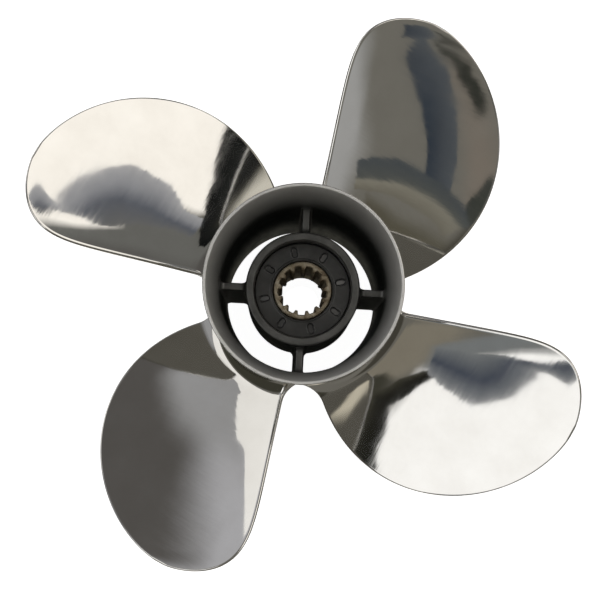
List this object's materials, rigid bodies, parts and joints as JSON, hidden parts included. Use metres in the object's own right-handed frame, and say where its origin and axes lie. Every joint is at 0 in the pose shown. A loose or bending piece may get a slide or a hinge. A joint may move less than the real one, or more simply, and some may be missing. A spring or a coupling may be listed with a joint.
{
  "type": "outboard boat propeller",
  "caption": "Right-hand outboard propeller with raked blades on a flared exhaust barrel, an inner hub on ribs, and a rubber drive bushing around a splined sleeve.",
  "frame": {"origin": "centre of the barrel's forward face, on the shaft axis, at the lowest point of the part", "axes": "+Z along the shaft towards the aft end where the exhaust leaves; the support ribs lie along X and Y"},
  "size_m": [0.2834, 0.2834, 0.122],
  "materials": {
    "polished_stainless": "mirror-polished stainless steel",
    "satin_stainless": "satin stainless steel",
    "dark_satin_hub": "dark satin, as cast and coated",
    "black_rubber": "moulded",
    "tarnished_bronze": "tarnished, machined"
  },
  "bodies": {
    "propeller_body": {"exhaust_barrel": "satin_stainless", "inner_hub": "dark_satin_hub", "support_rib_1": "dark_satin_hub", "support_rib_2": "dark_satin_hub", "support_rib_3": "dark_satin_hub", "support_rib_4": "dark_satin_hub", "blade_1": "polished_stainless", "blade_2": "polished_stainless", "blade_3": "polished_stainless", "blade_4": "polished_stainless"},
    "drive_bushing": {"rubber_bushing": "black_rubber"},
    "drive_sleeve": {"splined_sleeve": "tarnished_bronze"}
  },
  "joints": [
    {"name": "bushing_slip", "type": "hinge", "parent": "propeller_body", "child": "drive_bushing", "pos_m": [0, 0, 0.0555], "axis": [0, 0, 1], "continuous": true},
    {"name": "sleeve_windup", "type": "hinge", "parent": "drive_bushing", "child": "drive_sleeve", "pos_m": [0, 0, 0.0555], "axis": [0, 0, 1], "range_deg": [-8, 8], "stiffness_Nm_per_rad": 100}
  ]
}
